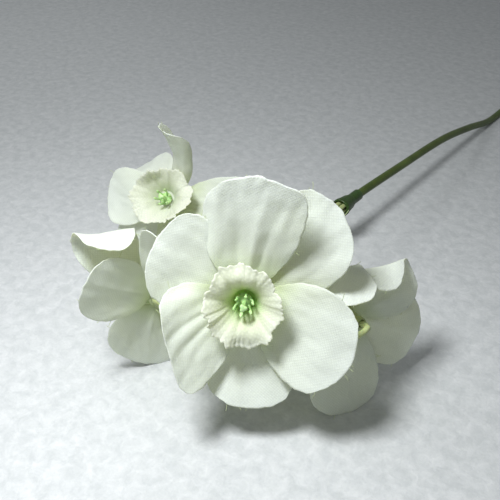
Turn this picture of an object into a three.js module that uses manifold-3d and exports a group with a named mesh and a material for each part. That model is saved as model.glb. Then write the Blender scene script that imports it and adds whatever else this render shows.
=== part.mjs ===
// A cut spray of white cloth daffodils: four blooms on one wire-cored stem, laid on a surface.
// Millimetres, +Z up. The stem runs along +Y from the collar that joins the four flower stalks.
import * as THREE from 'three';
import { mergeVertices } from 'three/addons/utils/BufferGeometryUtils.js';
import Module from 'manifold-3d';

const wasm = await Module();
wasm.setup();

// Driving dimensions
const PETAL_LENGTH = 42;
const PETAL_WIDTH = 37;
const PETAL_THICKNESS = 0.8;
const PETAL_COLUMNS = 6;
const PETAL_ROWS = 8;
const PETAL_ROOT = 4;
const PETAL_BELLY = 2;
const PETAL_FULLNESS = 2.4;
const ROOT_NARROWING = 0.33;
const LAYER_GAP = 0.35;
const FOLD_RADIUS = 3;
const HUB_RADIUS = 5;
const HUB_THICKNESS = 1.2;
const PEG_RADIUS = 1;
const PEG_HOLE_RADIUS = 1.35;

const CUP_FLOOR_RADIUS = 4.2;
const CUP_RIM_RADIUS = 13.2;
const CUP_DEPTH = 11;
const CUP_WALL = 0.8;
const CUP_LOBES = 6;
const CUP_PLEATS = 12;
const CUP_SIDES = 36;

const STAMEN_COUNT = 6;
const STAMEN_LENGTH = 5.5;
const PISTIL_LENGTH = 8;

const CALYX_LENGTH = 11;
const CALYX_FLANGE_RADIUS = 3.8;
const CALYX_END_RADIUS = 2.1;
const SOCKET_DEPTH = 4;

const STALK_RADIUS = 1.1;
const STALK_SIDES = 8;
const STALK_STEPS = 24;
const SOCKET_CLEARANCE = 0.4;

const STEM_RADIUS = 2.1;
const STEM_BORE_RADIUS = 0.95;
const STEM_SIDES = 10;
const STEM_STEPS = 24;
const WIRE_RADIUS = 0.6;
const WIRE_SHOWS = 2;
const STEM_LENGTH = 240;
const STEM_FLAT = 0.15;

const COLLAR_LENGTH = 17;
const COLLAR_RADIUS = 2.9;
const COLLAR_MOUTH_RADIUS = 4.6;
const COLLAR_HEIGHT = 24;
const MOUTH_RADIUS = 3.6;
const STALK_SPACING = 1.45;

// Each bloom's place is its centre, measured from the mouth of the collar and up from the surface.
// heading turns it from -Y towards +X, and tilt raises its face. A petal's turn is its angle round
// the bloom, from the bloom's right, counter-clockwise. lift and curl are how far it stands forward
// at the root and how much more by its tip, and a negative value folds it back. fold gives how
// high above the bloom's centre a petal is pressed over backwards, and by what angle. furl is the
// radius that a petal's width is rolled to, with its face outside.
const BLOOMS = [
  {
    name: 'front',
    centre: [28.5, -109.4, 51],
    heading: 36,
    tilt: 20,
    size: 1,
    slot: [1, 1],
    outer: [
      { turn: 150, length: 37, width: 38, lift: 5, curl: 12, lean: -2.5, twist: 5 },
      { turn: 272, length: 40, width: 35, lift: 6, curl: 9, lean: 2.5 },
      { turn: 41, length: 45, lift: 4, curl: 5, lean: 4.5, twist: -3 },
    ],
    inner: [
      { turn: 88, length: 46, width: 39, lift: 9, curl: 17, lean: -4, twist: -14, belly: 1 },
      { turn: 207, length: 36, width: 39, lift: 20, curl: 30, lean: 4.5, twist: -8, belly: 1 },
      { turn: 336, length: 43, width: 41, lift: 13, curl: 14, lean: -2.5, fullness: 1.9 },
    ],
  },
  {
    name: 'right',
    centre: [51.6, -80.6, 37],
    heading: -112,
    tilt: -16,
    size: 1,
    slot: [1, -1],
    via: [[63, -93, 39], [50, -100, 30], [33, -97, 17], [24, -86, 9], [19, -56, 12], [8, -28, 19]],
    outer: [
      { turn: 277, length: 40, width: 35, lift: -3, curl: -8 },
      { turn: 154, length: 33, width: 45, lift: -2, curl: -4, belly: 1, fold: [12.6, 132] },
      { turn: 12, length: 27, width: 21, lift: -5, curl: 56, belly: 0 },
    ],
    inner: [
      { turn: 83, length: 35.5, width: 26, lift: 4, curl: -8, belly: 0, fold: [13.8, 112] },
      { turn: 213, length: 40, width: 34.5, lift: 0, curl: -6 },
      { turn: 334, length: 29, width: 26, lift: 38, curl: 14 },
    ],
  },
  {
    name: 'left',
    centre: [-9.4, -114.7, 35.3],
    heading: -113,
    tilt: -9,
    size: 1,
    slot: [-1, -1],
    outer: [
      { turn: 30, length: 35.5, width: 30, lift: -15, curl: -1, lean: 2, twist: -9 },
      { turn: 105, length: 37, width: 25, lift: -28, curl: -12, lean: -10, twist: -34 },
      { turn: 228, length: 38, width: 34, lift: 4, curl: 8 },
    ],
    inner: [
      { turn: 56, length: 41, width: 24.5, lift: 12.5, curl: -2, twist: -7, belly: 1, fold: [23.5, 113] },
      { turn: 162, length: 38, width: 35, lift: 14, curl: 14 },
      { turn: 298, length: 33.3, width: 34.5, lift: 13, curl: -4, lean: -7, twist: 3 },
    ],
  },
  {
    name: 'rear',
    centre: [-54.2, -63.7, 38.2],
    heading: 26,
    tilt: 38,
    size: 1,
    slot: [-1, 1],
    outer: [
      { turn: 355, length: 44, width: 33, lift: 1, curl: 8, lean: 4 },
      { turn: 136, length: 36, width: 31, lift: -30, curl: -18, lean: 3, twist: 10 },
      { turn: 240, length: 33, width: 30, lift: -21, curl: -7, lean: -3 },
    ],
    inner: [
      { turn: 61, length: 41, width: 20, lift: 37, curl: 42, lean: 10, furl: 5 },
      { turn: 182, length: 35, width: 31, lift: -15, curl: -9, lean: -1, twist: -3 },
      { turn: 302, length: 40, width: 34, lift: 2, curl: 6 },
    ],
  },
];

const MATERIALS = {
  petal: new THREE.MeshStandardMaterial({ color: 0xe9efe6, roughness: 0.85, metalness: 0 }),
  cup: new THREE.MeshStandardMaterial({ color: 0xe6eedb, roughness: 0.85, metalness: 0 }),
  stamen: new THREE.MeshStandardMaterial({ color: 0x9fc77a, roughness: 0.55, metalness: 0 }),
  calyx: new THREE.MeshStandardMaterial({ color: 0x8fa56b, roughness: 0.55, metalness: 0 }),
  stem: new THREE.MeshStandardMaterial({ color: 0x4a5a22, roughness: 0.5, metalness: 0 }),
  collar: new THREE.MeshStandardMaterial({ color: 0x2c4414, roughness: 0.5, metalness: 0 }),
  wire: new THREE.MeshStandardMaterial({ color: 0x9a9c98, roughness: 0.4, metalness: 1 }),
};

const { clamp, degToRad } = THREE.MathUtils;

// Closed geometry to a solid and back

function toSolid(geometry) {
  const bare = geometry.clone();
  bare.deleteAttribute('normal');
  bare.deleteAttribute('uv');
  const merged = mergeVertices(bare, 1e-4);
  const vertProperties = new Float32Array(merged.attributes.position.array);
  const triVerts = new Uint32Array(merged.index.array);
  return new wasm.Manifold(new wasm.Mesh({ numProp: 3, vertProperties, triVerts }));
}

function toGeometry(solid) {
  const mesh = solid.getMesh();
  const geometry = new THREE.BufferGeometry();
  geometry.setAttribute('position', new THREE.BufferAttribute(mesh.vertProperties, 3));
  geometry.setIndex(new THREE.BufferAttribute(mesh.triVerts, 1));
  geometry.computeVertexNormals();
  return geometry;
}

function join(geometries) {
  return geometries.map(toSolid).reduce((whole, piece) => whole.add(piece));
}

// Cylinder along +Z from one height to another
function post(radius, from, to, sides, topRadius = radius) {
  const geometry = new THREE.CylinderGeometry(topRadius, radius, to - from, sides);
  return geometry.rotateX(Math.PI / 2).translate(0, 0, (from + to) / 2);
}

// Lathe round +Z of a profile of [radius, height] pairs, listed from the bottom up the outside
function turned(profile, sides) {
  const points = profile.map(([radius, height]) => new THREE.Vector2(radius, height));
  return new THREE.LatheGeometry(points, sides).rotateX(Math.PI / 2);
}

// Petals

// The outline is a disc made fuller towards its tip, given as across and along from -1 to 1.
function outline(petal, a, b) {
  const x = a * Math.sqrt(1 - (b * b) / 2);
  const y = b * Math.sqrt(1 - (a * a) / 2);
  const reach = Math.hypot(x, y) + 1e-9;
  const cos = Math.max(Math.abs(x) / reach, 1e-3);
  const sin = Math.max(Math.abs(y) / reach, 1e-3);
  const power = petal.fullness ?? PETAL_FULLNESS;
  const full = (cos ** power + sin ** power) ** (-1 / power);
  const share = 1 + (full - 1) * clamp(y * 2, 0, 1);
  return [x * share, y > 0 ? y * share : y];
}

// The petal's middle surface, as an arc from the root with a dished width, in the bloom's axes
function petalSurface(petal, across, along) {
  const length = (petal.length ?? PETAL_LENGTH) - PETAL_ROOT;
  const half = (petal.width ?? PETAL_WIDTH) / 2;
  const run = Math.max(along + 1, 0) / 2;
  const narrowing = 1 - ROOT_NARROWING * clamp((1 - along) / 2, 0, 1) ** 1.3;
  const side = half * across * narrowing;
  const start = degToRad(petal.lift);
  const bend = degToRad(petal.curl) / length;
  const slope = start + bend * length * run;
  const out = PETAL_ROOT + (Math.sin(slope) - Math.sin(start)) / bend;
  const rise = (Math.cos(start) - Math.cos(slope)) / bend;
  const [width, dish] = petal.furl
    ? [petal.furl * Math.sin(side / petal.furl), petal.furl * (Math.cos(side / petal.furl) - 1)]
    : [side, (petal.belly ?? PETAL_BELLY) * (side / half) ** 2 * run];
  const roll = degToRad(petal.twist ?? 0) * run;
  const lean = (petal.lean ?? 0) * run * run;
  const sideways = width * Math.cos(roll) - dish * Math.sin(roll) + lean;
  const depth = width * Math.sin(roll) + dish * Math.cos(roll);
  const point = new THREE.Vector3(out - Math.sin(slope) * depth, sideways, rise + Math.cos(slope) * depth);
  point.applyAxisAngle(new THREE.Vector3(0, 0, 1), degToRad(petal.turn));
  return petal.fold ? folded(point, ...petal.fold) : point;
}

// Presses over backwards, in a round fold, what reaches higher than a height in the bloom's axes
function folded(point, height, most) {
  const over = point.y - height;
  if (over <= 0) return point;
  const angle = Math.min(over / FOLD_RADIUS, degToRad(most));
  const flat = over - angle * FOLD_RADIUS;
  const [sin, cos] = [Math.sin(angle), Math.cos(angle)];
  const up = height + FOLD_RADIUS * sin + flat * cos + point.z * sin;
  return point.set(point.x, up, point.z * cos - FOLD_RADIUS * (1 - cos) - flat * sin);
}

function petalNormal(petal, across, along) {
  const step = 1e-3;
  const here = petalSurface(petal, across, along);
  const acrossWay = petalSurface(petal, across + step, along).sub(here);
  const alongWay = petalSurface(petal, across, along + step).sub(here);
  return alongWay.cross(acrossWay).normalize();
}

// A thin closed blade: the same grid for both faces, joined along the rim
function petalBlade(petal, columns, rows) {
  const grid = new THREE.PlaneGeometry(2, 2, columns, rows);
  const flat = grid.attributes.position;
  const count = flat.count;
  const positions = new Float32Array(count * 6);
  for (let i = 0; i < count; i += 1) {
    const [across, along] = outline(petal, flat.getX(i), flat.getY(i));
    const middle = petalSurface(petal, across, along);
    const offset = petalNormal(petal, across, along).multiplyScalar(PETAL_THICKNESS / 2);
    middle.clone().add(offset).toArray(positions, i * 3);
    middle.clone().sub(offset).toArray(positions, (count + i) * 3);
  }
  const faces = [];
  const index = grid.index.array;
  for (let i = 0; i < index.length; i += 3) {
    const [p, q, r] = [index[i], index[i + 1], index[i + 2]];
    faces.push(p, r, q, count + p, count + q, count + r);
  }
  const width = columns + 1;
  const last = rows * width;
  const rim = [];
  for (let c = 0; c < columns; c += 1) rim.push(c);
  for (let r = 0; r < rows; r += 1) rim.push(r * width + columns);
  for (let c = columns; c > 0; c -= 1) rim.push(last + c);
  for (let r = rows; r > 0; r -= 1) rim.push(r * width);
  rim.forEach((p, i) => {
    const q = rim[(i + 1) % rim.length];
    faces.push(p, count + p, q, q, count + p, count + q);
  });
  const geometry = new THREE.BufferGeometry();
  geometry.setAttribute('position', new THREE.BufferAttribute(positions, 3));
  geometry.setIndex(faces);
  return geometry;
}

// Three petals cut from one piece of cloth, on the small disc that the peg goes through
function petalLayer(petals, height) {
  const disc = post(HUB_RADIUS, -HUB_THICKNESS / 2, HUB_THICKNESS / 2, 20);
  const blades = petals.map((petal) => petalBlade(petal, PETAL_COLUMNS, PETAL_ROWS));
  const hole = toSolid(post(PEG_HOLE_RADIUS, -8, 8, 12));
  return toGeometry(join([disc, ...blades]).subtract(hole)).translate(0, 0, height);
}

// The cup, with six lobes, fine pleats and a rim that turns out

function cup(floorHeight) {
  const top = floorHeight + CUP_DEPTH;
  const spread = CUP_RIM_RADIUS - CUP_FLOOR_RADIUS;
  const outside = [];
  const inside = [];
  for (const share of [0, 0.25, 0.55, 0.82, 1]) {
    const radius = CUP_FLOOR_RADIUS + spread * (0.62 * share + 0.38 * share ** 3);
    const height = floorHeight + CUP_DEPTH * share;
    outside.push([radius, height]);
    inside.unshift([radius - CUP_WALL * (1 - 0.25 * share), Math.max(height, floorHeight + CUP_WALL)]);
  }
  const floor = [PEG_HOLE_RADIUS, floorHeight];
  const floorTop = [PEG_HOLE_RADIUS, floorHeight + CUP_WALL];
  const geometry = turned([floor, ...outside, ...inside, floorTop, floor], CUP_SIDES);
  const place = geometry.attributes.position;
  const spot = new THREE.Vector3();
  for (let i = 0; i < place.count; i += 1) {
    spot.fromBufferAttribute(place, i);
    const angle = Math.atan2(spot.y, spot.x);
    const share = clamp((spot.z - floorHeight) / (top - floorHeight), 0, 1);
    const lobe = 0.7 * Math.cos(CUP_LOBES * angle) * share ** 2;
    const pleat = 0.28 * Math.cos(CUP_PLEATS * angle) * share;
    const radius = Math.hypot(spot.x, spot.y);
    const grown = (radius + (lobe + pleat) * clamp((radius - 3) / 2, 0, 1)) / radius;
    const wave = 0.7 * Math.sin(CUP_LOBES * angle + 0.6) * share ** 3;
    place.setXYZ(i, spot.x * grown, spot.y * grown, spot.z + wave);
  }
  return geometry;
}

// Pistil and stamens, one moulding whose peg holds the layers together

function stamens(floorHeight) {
  const base = floorHeight + CUP_WALL + LAYER_GAP;
  const pieces = [
    post(PEG_RADIUS, -SOCKET_DEPTH, base + 0.5, 8),
    post(2.9, base, base + 0.9, 10),
    post(0.9, base, base + PISTIL_LENGTH, 6, 0.7),
    new THREE.IcosahedronGeometry(1.2, 0).translate(0, 0, base + PISTIL_LENGTH),
  ];
  for (let i = 0; i < STAMEN_COUNT; i += 1) {
    const turn = (i / STAMEN_COUNT) * Math.PI * 2 + 0.3;
    const filament = post(0.45, 0, STAMEN_LENGTH, 5);
    const anther = new THREE.OctahedronGeometry(0.9, 0).scale(1, 1, 1.6).translate(0, 0, STAMEN_LENGTH);
    for (const piece of [filament, anther]) {
      pieces.push(piece.rotateY(degToRad(14)).translate(1.9, 0, base + 0.4).rotateZ(turn));
    }
  }
  return toGeometry(join(pieces));
}

// Calyx behind the petals, with a socket at each end

function calyx(top) {
  const foot = top - CALYX_LENGTH;
  const socket = STALK_RADIUS + SOCKET_CLEARANCE;
  return turned([
    [0, foot + SOCKET_DEPTH],
    [socket, foot + SOCKET_DEPTH],
    [socket, foot],
    [CALYX_END_RADIUS, foot],
    [CALYX_END_RADIUS + 0.2, foot + CALYX_LENGTH * 0.35],
    [CALYX_END_RADIUS + 0.6, foot + CALYX_LENGTH * 0.7],
    [CALYX_FLANGE_RADIUS, top - 1],
    [CALYX_FLANGE_RADIUS, top],
    [PEG_HOLE_RADIUS, top],
    [PEG_HOLE_RADIUS, top - SOCKET_DEPTH - 0.4],
    [0, top - SOCKET_DEPTH - 0.4],
  ], 16);
}

// Round rod along a curve, with a bore where one is given

function rod(curve, radius, sides, steps, bore = 0) {
  const section = new THREE.Shape();
  const ring = (path, r) => {
    for (let i = 0; i <= sides; i += 1) {
      const angle = (i / sides) * Math.PI * 2 + Math.PI / sides;
      const [x, y] = [r * Math.cos(angle), r * Math.sin(angle)];
      if (i === 0) path.moveTo(x, y);
      else path.lineTo(x, y);
    }
    return path;
  };
  ring(section, radius);
  if (bore) section.holes.push(ring(new THREE.Path(), bore));
  return new THREE.ExtrudeGeometry(section, { steps, extrudePath: curve, curveSegments: 1 });
}

// The stem stands off the surface near the collar and lies on it towards its cut end
function stemCurve(extra = 0) {
  const lying = STEM_RADIUS - STEM_FLAT;
  return new THREE.CatmullRomCurve3([
    new THREE.Vector3(0, COLLAR_LENGTH * 0.5 + 1.5, COLLAR_HEIGHT),
    new THREE.Vector3(0, COLLAR_LENGTH + 1, COLLAR_HEIGHT),
    new THREE.Vector3(0, 60, 21.6),
    new THREE.Vector3(0, 115, 17.6),
    new THREE.Vector3(0, 155, 10.4),
    new THREE.Vector3(0, 190, lying + 0.7),
    new THREE.Vector3(0, 214, lying),
    new THREE.Vector3(0, STEM_LENGTH + extra, lying),
  ], false, 'centripetal');
}

// Collar: a moulded sleeve with the stem in one end and the four stalks in the other
function collar() {
  const middle = COLLAR_LENGTH * 0.5;
  const stemSocket = STEM_RADIUS + 0.35;
  return turned([
    [0, middle - 1],
    [MOUTH_RADIUS, middle - 1],
    [MOUTH_RADIUS, 0],
    [COLLAR_MOUTH_RADIUS, 0],
    [COLLAR_MOUTH_RADIUS, 2],
    [COLLAR_RADIUS + 0.8, middle - 1],
    [COLLAR_RADIUS, middle + 2],
    [COLLAR_RADIUS, COLLAR_LENGTH],
    [stemSocket, COLLAR_LENGTH],
    [stemSocket, middle + 1],
    [0, middle + 1],
  ], 16).rotateX(-Math.PI / 2).translate(0, 0, COLLAR_HEIGHT);
}

// Places and routes

function bloomMatrix(bloom) {
  const heading = degToRad(bloom.heading);
  const tilt = degToRad(bloom.tilt);
  const face = new THREE.Vector3(
    Math.sin(heading) * Math.cos(tilt),
    -Math.cos(heading) * Math.cos(tilt),
    Math.sin(tilt),
  );
  const right = new THREE.Vector3(0, 0, 1).cross(face).normalize();
  const up = face.clone().cross(right);
  const matrix = new THREE.Matrix4().makeBasis(right, up, face);
  return matrix.scale(new THREE.Vector3(bloom.size, bloom.size, bloom.size)).setPosition(...bloom.centre);
}

// A stalk leaves the calyx straight back, bends round and enters the collar straight. Where via is
// given, it goes round its bloom through those points.
function stalkCurve(bloom) {
  const matrix = bloomMatrix(bloom);
  const foot = calyxTop() - CALYX_LENGTH;
  const behind = (depth) => new THREE.Vector3(0, 0, foot - depth).applyMatrix4(matrix);
  const slot = new THREE.Vector3(
    STALK_SPACING * bloom.slot[0],
    0,
    COLLAR_HEIGHT + STALK_SPACING * bloom.slot[1],
  );
  const mouth = slot.clone().setY(-1);
  const inner = slot.clone().setY(COLLAR_LENGTH * 0.5 - 1.5);
  const bend = new THREE.CubicBezierCurve3(
    behind(0.5),
    behind(18),
    mouth.clone().setY(-45),
    mouth,
  );
  const way = bloom.via
    ? [behind(0.5), behind(3.5), ...bloom.via.map((spot) => new THREE.Vector3(...spot)),
      mouth.clone().setY(-12), mouth]
    : bend.getPoints(9);
  return new THREE.CatmullRomCurve3([behind(-SOCKET_DEPTH + 0.5), ...way, inner], false, 'centripetal');
}

function outerHeight() {
  return 0;
}

function innerHeight() {
  return outerHeight() + HUB_THICKNESS + LAYER_GAP;
}

function cupFloorHeight() {
  return innerHeight() + HUB_THICKNESS / 2 + LAYER_GAP;
}

function calyxTop() {
  return outerHeight() - HUB_THICKNESS / 2 - LAYER_GAP;
}

// What reaches the surface is pressed flat there
function aboveSurface(geometry) {
  const below = new THREE.BoxGeometry(600, 600, 40).translate(0, 0, -20);
  return toGeometry(toSolid(geometry).subtract(toSolid(below)));
}

const spray = new THREE.Group();

function addNode(name, geometry, material) {
  const mesh = new THREE.Mesh(geometry, material);
  mesh.name = name;
  spray.add(mesh);
}

BLOOMS.forEach((bloom) => {
  const matrix = bloomMatrix(bloom);
  const place = (geometry) => geometry.applyMatrix4(matrix);
  const part = (piece) => `${bloom.name}_bloom_${piece}`;
  const outer = place(petalLayer(bloom.outer, outerHeight()));
  const inner = place(petalLayer(bloom.inner, innerHeight()));
  addNode(part('outer_petals'), aboveSurface(outer), MATERIALS.petal);
  addNode(part('inner_petals'), aboveSurface(inner), MATERIALS.petal);
  addNode(part('cup'), place(cup(cupFloorHeight())), MATERIALS.cup);
  addNode(part('stamens'), place(stamens(cupFloorHeight())), MATERIALS.stamen);
  addNode(part('calyx'), place(calyx(calyxTop())), MATERIALS.calyx);
  addNode(part('stalk'), rod(stalkCurve(bloom), STALK_RADIUS, STALK_SIDES, STALK_STEPS), MATERIALS.calyx);
});

addNode('collar', collar(), MATERIALS.collar);
const stemTube = rod(stemCurve(), STEM_RADIUS, STEM_SIDES, STEM_STEPS, STEM_BORE_RADIUS);
addNode('stem', aboveSurface(stemTube), MATERIALS.stem);
addNode('stem_wire', rod(stemCurve(WIRE_SHOWS), WIRE_RADIUS, STALK_SIDES, STEM_STEPS), MATERIALS.wire);

// The origin is under the middle of the whole spray, on the surface.
const reach = new THREE.Box3().setFromObject(spray, true);
const middle = reach.getCenter(new THREE.Vector3());
spray.position.set(-middle.x, -middle.y, 0);

export default spray;
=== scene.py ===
"""Looks of a cut spray of white cloth daffodils: four blooms on one wire-cored stem, laid down.

Sizes are in millimetres in the spray's own axes, as in the CAD: the stem runs along +Y from the
mouth of the collar, and the surface is z = 0. Each piece is built in metres in the frame's axes.
"""

import logging
import math
import random
from dataclasses import dataclass, field
from enum import Enum
from typing import Callable, Optional

import bmesh
import bpy
from mathutils import Matrix, Vector, noise


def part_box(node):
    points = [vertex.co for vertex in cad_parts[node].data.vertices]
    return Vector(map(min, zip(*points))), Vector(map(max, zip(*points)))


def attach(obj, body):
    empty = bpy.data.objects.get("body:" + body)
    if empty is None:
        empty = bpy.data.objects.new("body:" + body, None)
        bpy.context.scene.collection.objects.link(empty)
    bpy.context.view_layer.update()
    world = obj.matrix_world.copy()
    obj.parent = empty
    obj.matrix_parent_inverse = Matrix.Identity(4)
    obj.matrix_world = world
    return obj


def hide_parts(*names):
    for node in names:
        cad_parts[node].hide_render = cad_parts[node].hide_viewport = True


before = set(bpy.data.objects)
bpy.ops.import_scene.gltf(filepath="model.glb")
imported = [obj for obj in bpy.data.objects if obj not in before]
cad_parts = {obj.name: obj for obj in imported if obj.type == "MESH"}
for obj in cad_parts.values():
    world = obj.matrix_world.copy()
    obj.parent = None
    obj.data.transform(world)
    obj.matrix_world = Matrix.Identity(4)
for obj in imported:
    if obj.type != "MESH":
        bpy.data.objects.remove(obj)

LOG = logging.getLogger("daffodil_spray")
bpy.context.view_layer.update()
MM = 0.001

# Shared driving dimensions, which are the CAD's
PETAL_ROOT = 4.0
ROOT_NARROWING = 0.33
FOLD_RADIUS = 3.0
HUB_RADIUS = 5.0
HUB_THICKNESS = 1.2
LAYER_GAP = 0.35
PEG_RADIUS = 1.0
PEG_HOLE_RADIUS = 1.35
CUP_WALL = 0.8
CALYX_LENGTH = 11.0
SOCKET_DEPTH = 4.0
COLLAR_LENGTH = 17.0
COLLAR_HEIGHT = 24.0
STALK_SPACING = 1.45
STEM_LENGTH = 240.0

# The cloth's thickness here, and how finely it is divided
CLOTH_THICKNESS = 0.32
PETAL_COLUMNS = 44
PETAL_ROWS = 60
# The spacing of a wave texture's bands at scale 1
WAVE_PERIOD = 0.314

OUTER_HEIGHT = 0.0
INNER_HEIGHT = OUTER_HEIGHT + HUB_THICKNESS + LAYER_GAP
CUP_FLOOR_HEIGHT = INNER_HEIGHT + HUB_THICKNESS / 2 + LAYER_GAP
CALYX_TOP = OUTER_HEIGHT - HUB_THICKNESS / 2 - LAYER_GAP


class Slot(Enum):
    """Material slots of the record."""

    PETAL = "petal"
    CUP = "cup"
    STAMEN = "stamen"
    CALYX = "calyx"
    STEM = "stem"
    COLLAR = "collar"
    WIRE = "wire"


class Side(Enum):
    """The margin of a petal that is rolled, seen from the bloom's face with the tip up."""

    NONE = 0
    LEFT = 1
    RIGHT = -1


def clamp(value: float, low: float = 0.0, high: float = 1.0) -> float:
    """Keeps a number between two others."""
    return max(low, min(high, value))


def ease(value: float, start: float, end: float) -> float:
    """Smooth step from 0 at start to 1 at end."""
    share = clamp((value - start) / (end - start))
    return share * share * (3 - 2 * share)


def bump_of(value: float, centre: float, width: float) -> float:
    """A bell of height 1 at centre."""
    return math.exp(-(((value - centre) / width) ** 2))


def round_axis(radius: float, angle: float, height: float) -> Vector:
    """The point at an angle and a distance from the Z axis."""
    return Vector((radius * math.cos(angle), radius * math.sin(angle), height))


def linear(hex_colour: str) -> tuple[float, float, float, float]:
    """Turns an sRGB hex colour into the linear one that a shader takes.

    Args:
        hex_colour: Six hexadecimal digits.

    Returns:
        Red, green, blue and an alpha of 1.
    """
    parts = [int(hex_colour[i : i + 2], 16) / 255 for i in (0, 2, 4)]
    red, green, blue = (c / 12.92 if c <= 0.04045 else ((c + 0.055) / 1.055) ** 2.4 for c in parts)
    return (red, green, blue, 1.0)


def add_node(tree: bpy.types.NodeTree, kind: str, settings: Optional[dict] = None,
             links: Optional[dict] = None) -> bpy.types.Node:
    """Adds a shader node.

    Args:
        tree: The material's node tree.
        kind: The node's type name.
        settings: Values by property name or by input name or number.
        links: Output sockets by the input name or number that each goes into.

    Returns:
        The new node.
    """
    node = tree.nodes.new(kind)
    for key, value in (settings or {}).items():
        if isinstance(key, str) and hasattr(node, key):
            setattr(node, key, value)
        else:
            node.inputs[key].default_value = value
    for key, socket in (links or {}).items():
        tree.links.new(socket, node.inputs[key])
    return node


def blank_material(name: str) -> tuple[bpy.types.Material, bpy.types.NodeTree]:
    """Starts a node material.

    Args:
        name: The material's name.

    Returns:
        The material and its empty node tree.
    """
    made = bpy.data.materials.new(name)
    made.use_nodes = True
    made.node_tree.nodes.clear()
    return made, made.node_tree


def set_ramp(node: bpy.types.Node, stops: list[tuple[float, str]]) -> bpy.types.Node:
    """Gives a colour ramp its stops.

    Args:
        node: The ramp.
        stops: Places from 0 to 1 and hex colours.

    Returns:
        The ramp.
    """
    elements = node.color_ramp.elements
    while len(elements) < len(stops):
        elements.new(1.0)
    for element, (place, colour) in zip(elements, stops):
        element.position = place
        element.color = linear(colour)
    return node


# Finishes


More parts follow.
